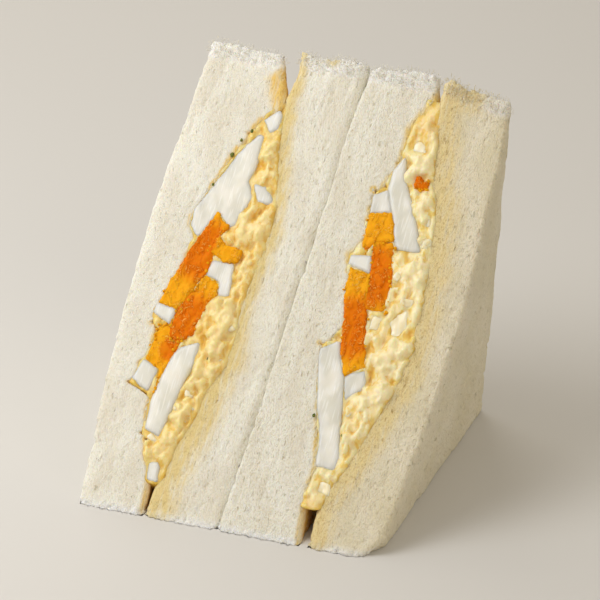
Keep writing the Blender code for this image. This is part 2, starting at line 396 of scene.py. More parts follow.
@dataclass(frozen=True)
class WhiteFinish:
    """Boiled egg white: smooth, cool and slightly see-through at its rims."""

    name: str = "boiled_egg_white"
    white: Colour = srgb(231, 228, 217)
    cool: Colour = srgb(219, 217, 205)
    stroke: Colour = srgb(246, 245, 240)
    depth: float = 0.004  # how far light goes into it
    cloud_size: Size = (0.0040, 0.0070, 0.0040)
    scratch_size: Size = (0.0005, 0.0060, 0.0040)

    def material(self) -> bpy.types.Material:
        """Make the egg white's material.

        Returns:
            The material.
        """
        make = Shader(self.name)
        place = make.cut_place()
        cloud = make.grain(place, self.cloud_size, 2.0)
        scratch = make.grain(place, self.scratch_size, 1.0)
        colour = make.blend(make.step(cloud, 0.38, 0.62), self.white, self.cool)
        colour = make.blend(make.step(scratch, 0.55, 0.68) * 0.5, colour, self.stroke)
        make.set(base_color=colour, roughness=0.30 + 0.12 * cloud, subsurface_weight=0.8)
        make.set(subsurface_radius=(1.0, 0.9, 0.72), subsurface_scale=self.depth, coat_weight=0.1)
        make.set(coat_roughness=0.25, normal=make.relief(0.1 * scratch + cloud, 0.0001))
        return make.material


@dataclass(frozen=True)
class YolkFinish:
    """Boiled yolk: a smooth deep orange core, amber towards its rim, and granular where it broke."""

    core: Colour = srgb(226, 112, 8)
    amber: Colour = srgb(244, 170, 28)
    # Painted highlight on the raised grains where it broke.
    pale: Colour = srgb(250, 196, 100)
    # Painted shade between the grains where it broke.
    grain_shade: Colour = srgb(196, 84, 4)
    blot_size: Size = (0.0022, 0.0036, 0.0036)
    grain_size: Size = (0.00050, 0.00055, 0.00055)

    def material(self) -> bpy.types.Material:
        """Make the yolk's material.

        Returns:
            The material.
        """
        make = Shader("boiled_yolk")
        place = make.cut_place()
        blot = make.grain(place, self.blot_size, 3.0, 0.8)
        grain = make.grain(place, self.grain_size, 2.0, 0.8)
        broken = make.step(blot, 0.47, 0.58)
        core = make.step(make.attribute("core") + 0.8 * (blot - 0.5), 0.2, 1.15)
        colour = make.blend(core, self.amber, self.core)
        # Painted highlight on raised grains and painted shade between them, following the bump's grain.
        colour = make.blend(broken * make.step(grain, 0.52, 0.64) * 0.6, colour, self.pale)
        colour = make.blend(broken * make.step(grain, 0.46, 0.34) * 0.4, colour, self.grain_shade)
        make.set(base_color=colour, roughness=0.5 + 0.3 * broken, subsurface_weight=0.2)
        make.set(subsurface_radius=(1.0, 0.4, 0.08), subsurface_scale=0.002, specular_ior_level=0.03)
        make.set(normal=make.relief(blot + grain * broken, 0.0004))
        return make.material


@dataclass(frozen=True)
class HerbFinish:
    """Dark green flecks of dried herb."""

    green: Colour = srgb(62, 84, 22)
    olive: Colour = srgb(112, 118, 34)
    fleck_size: Size = (0.0006, 0.0006, 0.0006)

    def material(self) -> bpy.types.Material:
        """Make the herb's material.

        Returns:
            The material.
        """
        make = Shader("dried_herb")
        fleck = make.grain(make.cut_place(), self.fleck_size, 2.0)
        colour = make.blend(make.step(fleck, 0.4, 0.6), self.green, self.olive)
        make.set(base_color=colour, roughness=0.6 + 0.2 * fleck, normal=make.relief(fleck, 0.0001))
        return make.material


@dataclass(frozen=True)
class FloorFinish:
    """A plain pale studio floor."""

    pale: Colour = srgb(214, 212, 208)
    deeper: Colour = srgb(208, 206, 202)
    cloud_size: Size = (0.3, 0.3, 0.3)

    def material(self) -> bpy.types.Material:
        """Make the floor's material.

        Returns:
            The material.
        """
        make = Shader("pale_floor")
        cloud = make.grain(make.cut_place(), self.cloud_size, 2.0)
        make.set(base_color=make.blend(cloud, self.pale, self.deeper), roughness=0.7)
        return make.material


@dataclass(frozen=True)
class Unevenness:
    """Clouds of noise that push a surface out and in."""

    size: Size  # of the clouds, along x, u and w
    strength: float  # how far it goes, in metres, for a change of the noise from 0 to 1
    middle: float = 0.5  # the noise that leaves a point where it is
    along: str = "NORMAL"  # or an axis
    group: str = ""  # the vertex group that limits it
    depth: int = 1  # how many finer layers the noise has
    band: Point | None = None  # the two values between which it is stretched to run from 0 to 1

    def texture(self) -> bpy.types.Texture:
        """Make the noise.

        Returns:
            The texture, which its user removes.
        """
        clouds = bpy.data.textures.new("clouds", "CLOUDS")
        clouds.noise_scale = 1.0
        clouds.noise_depth = self.depth
        if self.band:
            clouds.use_color_ramp = True
            first, last = clouds.color_ramp.elements
            first.position, last.position = self.band
            first.color = (0, 0, 0, 1)
            last.color = (1, 1, 1, 1)
        return clouds


class Bench:
    """The work on one mesh at a time, with Blender's own tools."""

    rim_window: float = 0.0006  # half the height of the strip in which a side is traced
    rim_step: float = 0.0008
    rim_depth: float = 0.002  # how far below the cut a side still counts

    @staticmethod
    def take(*pieces: bpy.types.Object) -> None:
        """Select only these, the first of them active.

        Args:
            pieces: The pieces.
        """
        bpy.ops.object.select_all(action="DESELECT")
        for piece in pieces:
            piece.select_set(True)
        bpy.context.view_layer.objects.active = pieces[0]

    @staticmethod
    def place(piece: bpy.types.Object, move: Matrix) -> None:
        """Move a piece and write its place into its mesh.

        Args:
            piece: The piece.
            move: Where it goes.
        """
        piece.matrix_world = move
        Bench.take(piece)
        bpy.ops.object.transform_apply(location=True, rotation=True, scale=True)

    @staticmethod
    def link(name: str, data: bpy.types.ID, place: Matrix | None = None) -> bpy.types.Object:
        """Put a mesh, light or camera into the scene.

        Args:
            name: Its name.
            data: The mesh, light or camera.
            place: Written into the mesh, where one is given.

        Returns:
            The new object.
        """
        if place is not None:
            data.transform(place)
        made = bpy.data.objects.new(name, data)
        bpy.context.scene.collection.objects.link(made)
        return made

    @staticmethod
    def copy_of(node: str, name: str) -> bpy.types.Object:
        """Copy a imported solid, merge its points and lay it with its cut face flat.

        Args:
            node: The solid's name.
            name: The new piece's name.

        Returns:
            The new piece.
        """
        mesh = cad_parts[node].data.copy()
        mesh.materials.clear()
        piece = Bench.link(name, mesh)
        Bench.place(piece, STAND_UP.inverted())
        bpy.ops.object.mode_set(mode="EDIT")
        bpy.ops.mesh.select_all(action="SELECT")
        bpy.ops.mesh.remove_doubles(threshold=2e-6)
        bpy.ops.object.mode_set(mode="OBJECT")
        return piece

    @staticmethod
    def join(pieces: list[bpy.types.Object], name: str = "") -> bpy.types.Object:
        """Join several pieces into the first.

        Args:
            pieces: The pieces.
            name: The new name, where it gets one.

        Returns:
            The joined piece.
        """
        Bench.take(*pieces)
        bpy.ops.object.join()
        pieces[0].name = name or pieces[0].name
        return pieces[0]

    @staticmethod
    def roughen(piece: bpy.types.Object, offset: float, seed: int) -> None:
        """Shake all points of a piece about.

        Args:
            piece: The piece.
            offset: How far they go at most.
            seed: Chooses the way of each.
        """
        Bench.take(piece)
        bpy.ops.object.mode_set(mode="EDIT")
        bpy.ops.mesh.select_all(action="SELECT")
        bpy.ops.transform.vertex_random(offset=offset, seed=seed)
        bpy.ops.object.mode_set(mode="OBJECT")

    @staticmethod
    def modify(piece: bpy.types.Object, kind: str, **settings: object) -> None:
        """Add a modifier and apply it.

        Args:
            piece: The piece.
            kind: The modifier's type.
            settings: Its settings, by their own names.
        """
        added = piece.modifiers.new(kind.lower(), kind)
        for name, value in settings.items():
            setattr(added, name, value)
        Bench.take(piece)
        bpy.ops.object.modifier_apply(modifier=added.name)

    @staticmethod
    def remesh(piece: bpy.types.Object, voxel: float, smoothing: int = 0) -> None:
        """Give a piece an even mesh of this cell size, then smooth it."""
        Bench.modify(piece, "REMESH", mode="VOXEL", voxel_size=voxel, use_smooth_shade=True)
        if smoothing:
            Bench.modify(piece, "SMOOTH", factor=0.5, iterations=smoothing)

    @staticmethod
    def swell(piece: bpy.types.Object, by: float) -> None:
        """Move the whole surface out by this much."""
        Bench.modify(piece, "DISPLACE", strength=by, mid_level=0.0)

    @staticmethod
    def slice_off(piece: bpy.types.Object, height: float) -> None:
        """Cut off what lies above a height w and close the cut.

        Args:
            piece: The piece.
            height: The height of the cut.
        """
        Bench.take(piece)
        bpy.ops.object.mode_set(mode="EDIT")
        bpy.ops.mesh.select_all(action="SELECT")
        bpy.ops.mesh.bisect(plane_co=(0, 0, height), plane_no=(0, 0, 1), use_fill=True, clear_outer=True)
        bpy.ops.object.mode_set(mode="OBJECT")

    @staticmethod
    def points(piece: bpy.types.Object) -> np.ndarray:
        """Read the places of a piece's points.

        Args:
            piece: The piece.

        Returns:
            A row (x, u, w) for each point.
        """
        flat = np.empty(len(piece.data.vertices) * 3, np.float32)
        piece.data.vertices.foreach_get("co", flat)
        return flat.reshape(-1, 3)

    @staticmethod
    def move_points(piece: bpy.types.Object, points: np.ndarray) -> None:
        """Write rows of points back into a piece."""
        piece.data.vertices.foreach_set("co", points.ravel())
        piece.data.update()

    @staticmethod
    def rim(points: np.ndarray, side: int) -> tuple[np.ndarray, np.ndarray]:
        """Trace one side of a piece where it meets the cut.

        Args:
            points: The piece's points.
            side: -1 for its low x, 1 for its high x.

        Returns:
            Heights u, and x of the side there.
        """
        face = points[points[:, 2] > -Bench.rim_depth]
        heights = np.arange(face[:, 1].min() + Bench.rim_window, face[:, 1].max(), Bench.rim_step)
        spots = []
        for height in heights:
            near = face[np.abs(face[:, 1] - height) < Bench.rim_window]
            spots.append(side * (side * near[:, 0]).max())
        return heights, np.array(spots)

    @staticmethod
    def normals(piece: bpy.types.Object) -> np.ndarray:
        """Read the normals at a piece's points.

        Args:
            piece: The piece.

        Returns:
            A row for each point.
        """
        flat = np.empty(len(piece.data.vertices) * 3, np.float32)
        piece.data.vertices.foreach_get("normal", flat)
        return flat.reshape(-1, 3)

    @staticmethod
    def group(piece: bpy.types.Object, name: str, weights: np.ndarray, steps: int = 12) -> None:
        """Keep weights at the points as a vertex group.

        Args:
            piece: The piece.
            name: The group's name.
            weights: A weight from 0 to 1 for each point.
            steps: How finely the weights are told apart.
        """
        group = piece.vertex_groups.new(name=name)
        level = np.rint(weights * steps).astype(int)
        for number in range(1, steps + 1):
            chosen = np.flatnonzero(level == number).tolist()
            if chosen:
                group.add(chosen, number / steps, "REPLACE")

    @staticmethod
    def attribute(piece: bpy.types.Object, name: str, values: np.ndarray) -> None:
        """Keep numbers at the points for the material."""
        made = piece.data.attributes.new(name, "FLOAT", "POINT")
        made.data.foreach_set("value", values.astype(np.float32))

    @staticmethod
    def displace(piece: bpy.types.Object, unevenness: tuple[Unevenness, ...], shift: float = 0.0) -> None:
        """Make a surface uneven, one kind of unevenness after the other.

        Args:
            piece: The piece.
            unevenness: The kinds.
            shift: Moves the noise, so that pieces differ.
        """
        for uneven in unevenness:
            clouds = uneven.texture()
            bpy.ops.object.empty_add(location=(shift, shift, shift))
            guide = bpy.context.active_object
            guide.scale = uneven.size
            bpy.context.view_layer.update()
            Bench.modify(piece, "DISPLACE", texture=clouds, texture_coords="OBJECT",
                         texture_coords_object=guide, strength=uneven.strength, mid_level=uneven.middle,
                         direction=uneven.along, vertex_group=uneven.group)
            bpy.data.objects.remove(guide)
            bpy.data.textures.remove(clouds)

    @staticmethod
    def finish(piece: bpy.types.Object, material: bpy.types.Material, slot: Slot, *nodes: str) -> None:
        """Stand a piece up in the sandwich, dress it and tie it to what it stands for.

        Args:
            piece: The piece, in the frame of the cut.
            material: Its finish.
            slot: The record's material slot; not used.
            nodes: The solids that it replaces.
        """
        Bench.place(piece, STAND_UP)
        points = Bench.points(piece)
        points[:, 2] = np.maximum(points[:, 2], FLOOR_CLEAR)
        Bench.move_points(piece, points)
        piece.data.materials.clear()
        piece.data.materials.append(material)
        piece.vertex_groups.clear()
        bpy.ops.object.shade_smooth()
        if nodes:
            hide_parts(*nodes)
        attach(piece, BODY)
        log.info("%s: %d faces", piece.name, len(piece.data.polygons))


@dataclass
class TornFlakes:
    """Tiny torn flakes of crumb that stand out along the edges that the knife tore."""

    seed: int
    kinds: int = 4
    length: float = 0.0015
    lowest: float = 0.0012  # height above the floor from which there are any

    def kind(self, number: int) -> bpy.types.Object:
        """Model one flake: a drop drawn out to a crooked point.

        Args:
            number: Which of the kinds.

        Returns:
            The flake, with its root at the origin and its point along +Z.
        """
        bpy.ops.mesh.primitive_ico_sphere_add(subdivisions=1, radius=0.5, location=(0, 0, 0.2))
        flake = bpy.context.active_object
        Bench.place(flake, flake.matrix_world)
        draw = random.Random(self.seed + number)
        for vert in flake.data.vertices:
            vert.select = vert.co.z > 0.45
        bpy.ops.object.mode_set(mode="EDIT")
        bpy.ops.mesh.select_mode(type="VERT")
        bpy.ops.transform.translate(value=(draw.uniform(-0.3, 0.3), draw.uniform(-0.3, 0.3), 0.7))
        bpy.ops.transform.resize(value=(0.35, 0.35, 1.0))
        bpy.ops.mesh.select_all(action="SELECT")
        bpy.ops.transform.vertex_random(offset=0.12, seed=number + 1)
        bpy.ops.object.mode_set(mode="OBJECT")
        return flake

    def scatter(self, slab: bpy.types.Object, weights: np.ndarray, count: int) -> bpy.types.Object:
        """Set flakes on a slice where its edges are torn, and join them to it.

        Args:
            slab: The slice.
            weights: How likely each of its points is to carry one.
            count: How many there are.

        Returns:
            The slice with its flakes.
        """
        kinds = [self.kind(number) for number in range(self.kinds)]
        draw = np.random.default_rng(self.seed)
        points, normals = Bench.points(slab), Bench.normals(slab)
        weights = np.where(height_above_floor(points) > self.lowest, weights, 0)
        chosen = draw.choice(len(points), size=count, replace=False, p=weights / weights.sum())
        flakes = []
        for number, index in enumerate(chosen):
            size = self.length * draw.uniform(0.4, 1.0) * (0.45 + 0.55 * weights[index])
            way = Vector(normals[index]) + Vector(draw.uniform(-0.5, 0.5, 3))
            way -= min(way.dot(UPWARDS), 0) * UPWARDS
            turn = way.to_track_quat("Z", "Y").to_matrix().to_4x4()
            width = draw.uniform(0.22, 0.5) * size
            shape = Matrix.Diagonal((width, width, size, 1))
            mesh = kinds[number % self.kinds].data.copy()
            flakes.append(Bench.link("flake", mesh, Matrix.Translation(points[index]) @ turn @ shape))
        for kind in kinds:
            bpy.data.objects.remove(kind)
        return Bench.join([slab, *flakes])


@dataclass
class BreadSlice:
    """A slice of white bread: soft porous crumb with torn edges, soaked where it meets the filling."""

    node: str
    inner: Side
    finish: BreadFinish
    soak: tuple[Point, ...]  # how deep the filling has soaked in at each height u
    edge: tuple[Point, ...]  # (u, x) of its edge towards the filling, which the egg dents
    crest: tuple[Point, ...]  # how much higher its torn top stands at each x
    seed: int
    tint: float = 0.0  # how yellow it is all over
    rolled: float = 0.0003  # how far its other edge is rolled back by its neighbour
    voxel: float = 0.0005
    fluff: float = 0.0005  # how much it fills out, as its neighbours press on it
    flakes: int = 460
    dent_reach: float = 0.009
    dent_depth: float = 0.014
    lap: float = 0.0012  # how far its edge reaches under the filling
    tuck: float = 0.0005  # how much lower it lies there
    roll_reach: float = 0.0028
    crest_depth: float = 0.012  # how far below the top the crest begins to rise
    torn_on_cut: Point = (-0.0030, -0.0004)  # w between which the tears on the cut set in
    torn_at_top: Point = (-0.0020, -0.0006)  # height from the top between which its tears set in
    torn_at_foot: Point = (0.0022, 0.0004)  # height from the floor between which its tears set in
    held_off: float = 0.0008  # how much drier the edges on the cut are than the faces behind them
    wet_edge: float = 0.004  # how deep below the cut its edge counts as wet
    dry: float = 0.02  # this far from the filling it is dry
    inside_depth: Point = (0.0006, 0.0030)  # how deep below the cut the gap's walls turn amber (egg and painted shade)
    unevenness: tuple[Unevenness, ...] = (
        Unevenness((0.014, 0.014, 0.014), 0.0008),
        Unevenness((0.0011, 0.0030, 0.0030), 0.00036, 1.0, band=(0.26, 0.36)),
        Unevenness((0.0006, 0.0014, 0.0014), 0.00034, depth=2),
        Unevenness((0.0008, 0.0011, 0.0011), 0.0021, group="torn", depth=2),
    )

    def edge_weights(self, points: np.ndarray) -> np.ndarray:
        """Tell how near points are to an edge that the knife tore.

        Args:
            points: The slice's points.

        Returns:
            The nearness of each, from 0 to 1.
        """
        near_cut = soft_step(*self.torn_on_cut, points[:, 2])
        height = height_above_floor(points)
        over = height - np.interp(points[:, 0], *zip(*self.crest))
        top = soft_step(*self.torn_at_top, over - np.percentile(over, 99.5))
        foot = soft_step(*self.torn_at_foot, height) * near_cut
        return np.maximum(top * (0.4 + 0.6 * near_cut), foot)

    def dent(self, slab: bpy.types.Object) -> None:
        """Give the slice's edges on the cut the form that the egg and its neighbour pressed into them.

        Args:
            slab: The slice.
        """
        points = Bench.points(slab)
        x, u, w = points.T.copy()
        side = self.inner.value
        rim = np.interp(u, *Bench.rim(points, side))
        far_rim = np.interp(u, *Bench.rim(points, -side))
        edge = np.interp(u, *zip(*self.edge))
        goal = edge + side * self.lap
        share = soft_step(self.dent_reach, 0.0, np.abs(x - rim)) * soft_step(-self.dent_depth, -0.001, w)
        near_cut = soft_step(-0.004, -0.001, w)
        points[:, 0] += share * (goal - rim)
        under = soft_step(0.0, 0.0005, side * (points[:, 0] - edge))
        points[:, 2] -= (self.fluff + self.tuck * under) * near_cut
        points[:, 2] -= self.rolled * soft_step(self.roll_reach, 0.0, np.abs(x - far_rim)) * near_cut
        near_top = soft_step(LEG - self.crest_depth, LEG, (u + w) / math.sqrt(2))
        rise = np.interp(x, *zip(*self.crest)) * near_top
        points[:, 1:] += (rise / math.sqrt(2))[:, None]
        Bench.move_points(slab, points)

    def soak_in(self, slab: bpy.types.Object) -> None:
        """Keep how soaked each point is, and how far inside between the slices.

        Args:
            slab: The slice.
        """
        points, side = Bench.points(slab), self.inner.value
        inner_face = [tuple(face.vertices) for face in slab.data.polygons if face.normal.x * side > 0.75]
        tree = BVHTree.FromPolygons([tuple(point) for point in points], inner_face)
        near = np.array([tree.find_nearest(spot, self.dry)[3] or self.dry for spot in map(Vector, points)])
        edge = np.interp(points[:, 1], *zip(*self.edge))
        from_edge = np.maximum(side * (edge - points[:, 0]), 0) + self.held_off
        near = np.where(points[:, 2] > -self.wet_edge, np.minimum(near, from_edge), near)
        reach = np.interp(points[:, 1], *zip(*self.soak))
        Bench.attribute(slab, "soak", np.maximum(1 - soft_step(0.0, 1.0, near / reach), self.tint))
        # The walls facing the filling turn amber deeper below the cut: smeared egg and painted shade.
        facing = soft_step(0.4, 0.9, Bench.normals(slab)[:, 0] * side)
        Bench.attribute(slab, "inside", facing * soft_step(*self.inside_depth, -points[:, 2]))

    def build(self) -> bpy.types.Object:
        """Make the slice.

        Returns:
            The finished slice.
        """
        slab = Bench.copy_of(self.node, f"{self.node}_crumb")
        Bench.remesh(slab, self.voxel, 3)
        Bench.swell(slab, self.fluff)
        self.dent(slab)
        self.soak_in(slab)
        torn = self.edge_weights(Bench.points(slab))
        Bench.group(slab, "torn", torn)
        # The torn edges' weights also place the painted rim highlight in the bread's colour.
        Bench.attribute(slab, "torn_edge_highlight", torn)
        Bench.displace(slab, self.unevenness, self.seed * 0.37)
        slab = TornFlakes(self.seed).scatter(slab, self.edge_weights(Bench.points(slab)) ** 2, self.flakes)
        Bench.finish(slab, self.finish.material(), Slot.BREAD, self.node)
        return slab


@dataclass
class EggSalad:
    """The chopped filling of a half, down to the beds that its pieces of egg lie in."""

    node: str
    bits: tuple["EggBit", ...]
    between: tuple[BreadSlice, BreadSlice]
    seed: int
    voxel: float = 0.0005
    face: float = -0.0010  # w of its face under the bits of egg
    flush: float = 0.0010  # how much higher it lies beside them
    pressed: float = 0.0009  # how far it presses into the bread
    over: float = 0.0010  # how far its rim reaches under the bread's edges on the cut
    lift: float = 0.25  # how much its top is drawn up between the slices
    lift_from: float = 0.112  # u from which it is
    melt: float = 0.0004  # how far its parts swell so that they melt together
    lump_count: int = 120
    lump_size: Point = (0.0010, 0.0028)
    lump_height: Point = (-0.0014, -0.0006)
    lump_ends: Point = (0.014, 0.119)  # u of the lowest and the highest
    unevenness: tuple[Unevenness, ...] = (
        Unevenness((0.0030, 0.0056, 0.0050), 0.0036, along="Z", group="face"),
        Unevenness((0.0018, 0.0030, 0.0030), 0.0022, along="Z", group="face"),
        Unevenness((0.0010, 0.0013, 0.0013), 0.0007, group="face"),
    )

    def fill(self, body: bpy.types.Object) -> None:
        """Widen the face until it meets the edges of both slices, level with the bits of egg.

        Args:
            body: The filling.
        """
        points = Bench.points(body)
        x, u, w = points.T.copy()
        low, high = (np.interp(u, *Bench.rim(points, side)) for side in (-1, 1))
        left, right = (np.interp(u, *zip(*loaf_slice.edge)) for loaf_slice in self.between)
        span = right - left + 2 * self.over
        wanted = left - self.over + (x - low) * span / np.maximum(high - low, 0.001)
        points[:, 0] += (wanted - x) * soft_step(-0.014, -0.001, w)
        clear = self.clear_of_bits(points)
        margin = np.minimum(points[:, 0] - left, right - points[:, 0])
        beside = self.flush * soft_step(-0.0011, -0.0004, clear) + 0.0004 * soft_step(0.0, 0.0020, clear)
        beside *= soft_step(-0.0014, 0.0004, margin)
        points[:, 2] += beside * soft_step(-0.0035, -0.0012, w)
        points[:, 1] += self.lift * np.maximum(u - self.lift_from, 0) * soft_step(-0.008, -0.001, w)
        Bench.move_points(body, points)

    def clear_of_bits(self, points: np.ndarray) -> np.ndarray:
        """Tell how far each point lies outside the outlines of the bits of egg."""
        x, u, _ = points.T
        return np.minimum.reduce([outside_by(bit.corners, x, u) for bit in self.bits])

    def build(self, material: bpy.types.Material) -> bpy.types.Object:
        """Make the filling.

        Args:
            material: The salad's finish.

        Returns:
            The finished filling.
        """
        copies = [Bench.copy_of(node, f"bed_{node}") for bit in self.bits for node in bit.nodes]
        body = Bench.join([Bench.copy_of(self.node, f"{self.node}_mix"), *copies])
        Bench.swell(body, self.melt)
        Bench.remesh(body, 0.0006)
        Bench.swell(body, self.pressed)
        Bench.slice_off(body, self.face)
        lumps = Curds("lumps", self.between, self.bits, self.seed, count=self.lump_count,
                      size=self.lump_size, height=self.lump_height, ends=self.lump_ends)
        body = Bench.join([body, *lumps.scatter()])
        Bench.remesh(body, self.voxel, 2)
        self.fill(body)
        points = Bench.points(body)
        x, u, w = points.T
        clear = self.clear_of_bits(points)
        left, right = (np.interp(u, *zip(*loaf_slice.edge)) for loaf_slice in self.between)
        free = 0.4 + 0.6 * soft_step(0.0, 0.0016, np.minimum.reduce([clear, x - left, right - x]))
        Bench.group(body, "face", soft_step(-0.0045, -0.0014, w) * np.where(clear < 0, 0.12, free))
        Bench.displace(body, self.unevenness, self.seed * 0.41)
        Bench.modify(body, "SMOOTH", factor=0.5, iterations=1)
        Bench.finish(body, material, Slot.SALAD, self.node)
        return body


@dataclass
class EggBit:
    """A bit of boiled egg with flat knife-cut sides, by the corners of its face on the cut."""

    name: str
    nodes: tuple[str, ...]
    corners: tuple[Point, ...]  # (x, u), in order round the face
    depth: float
    proud: float = 0.0003  # how far its face stood out before the knife pressed it in
    heel: float = 0.0  # how much shorter its far side is than its face, as on a half disc
    in_salad: bool = False  # coated by the salad round it
    voxel: float = 0.0004
    wear: float = 0.0003
    grown: float = 0.0002  # each bit swells until it touches its neighbours
    pressed: float = 0.0  # how far the knife pressed its face in

    def cut_out(self) -> bpy.types.Object:
        """Cut the bit out by its outline.

        Returns:
            The bit, with its edges a little worn.
        """
        bpy.ops.mesh.primitive_circle_add(vertices=len(self.corners), radius=1, fill_type="NGON")
        bit = bpy.context.active_object
        bit.name = self.name
        for vert, corner in zip(bit.data.vertices, self.corners):
            vert.co = (*corner, self.proud - self.pressed)
        middle = Vector(np.mean(self.corners, axis=0))
        bpy.ops.object.mode_set(mode="EDIT")
        bpy.ops.mesh.select_all(action="SELECT")
        bpy.ops.mesh.extrude_region_move(TRANSFORM_OT_translate={"value": (0, 0, -self.depth)})
        bpy.ops.transform.resize(value=(1, 1 - self.heel, 1), center_override=(*middle, 0))
        bpy.ops.mesh.select_all(action="SELECT")
        bpy.ops.mesh.normals_make_consistent(inside=False)
        bpy.ops.mesh.bevel(offset=self.wear, segments=2, affect="EDGES")
        bpy.ops.object.mode_set(mode="OBJECT")
        return bit


@dataclass
class WhiteBit(EggBit):
    """A bit of egg white."""

    pressed: float = 0.0003
    unevenness: tuple[Unevenness, ...] = (Unevenness((0.006, 0.009, 0.009), 0.0006),)
    softened: tuple[Unevenness, ...] = (Unevenness((0.0026, 0.0034, 0.0034), 0.0012),)

    def build(self, material: bpy.types.Material) -> bpy.types.Object:
        """Make the bit, its sides hardly uneven, or soft where the salad coats it.

        Args:
            material: Its finish.

        Returns:
            The finished bit.
        """
        bit = self.cut_out()
        Bench.remesh(bit, self.voxel, 8 if self.in_salad else 2)
        Bench.swell(bit, self.grown)
        Bench.displace(bit, self.unevenness + (self.softened if self.in_salad else ()))
        Bench.finish(bit, material, Slot.WHITE, *self.nodes)
        return bit


@dataclass
class YolkBit(EggBit):
    """A bit of yolk, crumbly all over."""

    core: Point = (0.0, 0.0)  # the middle of its deep orange part
    core_reach: float = 0.008
    unevenness: tuple[Unevenness, ...] = (
        Unevenness((0.0030, 0.0038, 0.0038), 0.0012, depth=2),
        Unevenness((0.0010, 0.0012, 0.0012), 0.0008, 0.4, depth=2),
    )

    def build(self, material: bpy.types.Material) -> bpy.types.Object:
        """Make the bit, with crumbly sides and its core told from its rim.

        Args:
            material: Its finish.

        Returns:
            The finished bit.
        """
        bit = self.cut_out()
        Bench.remesh(bit, self.voxel, 2)
        Bench.swell(bit, self.grown)
        Bench.displace(bit, self.unevenness)
        across, up, _ = Bench.points(bit).T
        away = np.hypot((across - self.core[0]) * 1.2, up - self.core[1])
        Bench.attribute(bit, "core", 1 - soft_step(0.35, 1.0, away / self.core_reach))
        Bench.finish(bit, material, Slot.YOLK, *self.nodes)
        return bit


@dataclass
class Curds:
    """Small soft bits of chopped egg that lie in the salad's face."""

    name: str
    between: tuple[BreadSlice, BreadSlice]
    clear_of: tuple[EggBit, ...]
    seed: int
    count: int
    size: Point
    height: Point
    ends: Point = (0.014, 0.117)  # u of the lowest and the highest
    inset: float = 0.0012  # how far they keep from the bread
    thickness: float = 0.0016
    kinds: int = 4

    def pattern(self, number: int) -> bpy.types.Object:
        """Model one curd: a diced bit with soft worn corners.

        Args:
            number: Which of the kinds.

        Returns:
            The curd, about 1 across.
        """
        bpy.ops.mesh.primitive_cube_add(size=1)
        curd = bpy.context.active_object
        bpy.ops.object.mode_set(mode="EDIT")
        bpy.ops.mesh.select_all(action="SELECT")
        bpy.ops.transform.vertex_random(offset=0.25, seed=number + self.seed)
        bpy.ops.mesh.bevel(offset=0.25, segments=3, affect="EDGES")
        bpy.ops.object.mode_set(mode="OBJECT")
        return curd

    def scatter(self) -> list[bpy.types.Object]:
        """Lay the curds in the face of the salad, clear of the larger bits of egg.

        Returns:
            The curds, loose.
        """
        draw = random.Random(self.seed)
        kinds = [self.pattern(number) for number in range(self.kinds)]
        curds = []
        while len(curds) < self.count:
            up = draw.uniform(*self.ends)
            low, high = (np.interp(up, *zip(*loaf_slice.edge)) for loaf_slice in self.between)
            across = draw.uniform(low + self.inset, high - self.inset)
            size = draw.uniform(*self.size)
            if min(outside_by(bit.corners, across, up) for bit in self.clear_of) < 0.6 * size:
                continue
            turn = Matrix.Rotation(draw.uniform(0, math.pi), 4, (draw.random() / 4, draw.random() / 4, 1))
            shape = Matrix.Diagonal((size, size * draw.uniform(0.8, 1.6), self.thickness, 1))
            mesh = draw.choice(kinds).data.copy()
            place = Matrix.Translation((across, up, draw.uniform(*self.height)))
            curds.append(Bench.link(self.name, mesh, place @ turn @ shape))
        for kind in kinds:
            bpy.data.objects.remove(kind)
        return curds

    def build(self, material: bpy.types.Material) -> bpy.types.Object:
        """Make the curds as one piece.

        Args:
            material: Their finish.

        Returns:
            The finished curds.
        """
        joined = Bench.join(self.scatter(), self.name)
        Bench.finish(joined, material, Slot.WHITE)
        return joined


@dataclass
class YolkCrumbs:
    """Loose crumbs of yolk along the broken edges of its bits."""

    name: str
    bits: tuple[EggBit, ...]
    seed: int
    count: int = 110
    size: Point = (0.0003, 0.0009)
    height: Point = (-0.0002, 0.0004)
    spread: float = 0.0005  # how far they stray from the edges
    astray: float = 0.0005  # beyond this from all egg, one is left out

    def build(self, material: bpy.types.Material) -> bpy.types.Object:
        """Make the crumbs as one piece.

        Args:
            material: Their finish.

        Returns:
            The finished crumbs.
        """
        draw = random.Random(self.seed)
        yolks = [bit for bit in self.bits if isinstance(bit, YolkBit)]
        whites = [bit for bit in self.bits if isinstance(bit, WhiteBit)]
        bpy.ops.mesh.primitive_ico_sphere_add(subdivisions=2, radius=0.5)
        pattern = bpy.context.active_object
        Bench.roughen(pattern, 0.22, self.seed)
        crumbs = []
        while len(crumbs) < self.count:
            corners = draw.choice(yolks).corners
            number = draw.randrange(len(corners))
            spot = Vector(corners[number]).lerp(Vector(corners[number - 1]), draw.random())
            spot += Vector((draw.gauss(0, self.spread), draw.gauss(0, self.spread)))
            off_bits = min(outside_by(bit.corners, *spot) for bit in self.bits)
            if off_bits > self.astray or min(outside_by(bit.corners, *spot) for bit in whites) < 0:
                continue
            size = draw.uniform(*self.size)
            shape = Matrix.Diagonal((size, size * draw.uniform(0.7, 1.4), size, 1))
            turn = Matrix.Rotation(draw.uniform(0, math.pi), 4, (draw.random(), draw.random(), 1))
            place = Matrix.Translation((*spot, draw.uniform(*self.height)))
            crumbs.append(Bench.link(self.name, pattern.data.copy(), place @ turn @ shape))
        bpy.data.objects.remove(pattern)
        joined = Bench.join(crumbs, self.name)
        Bench.finish(joined, material, Slot.YOLK)
        return joined


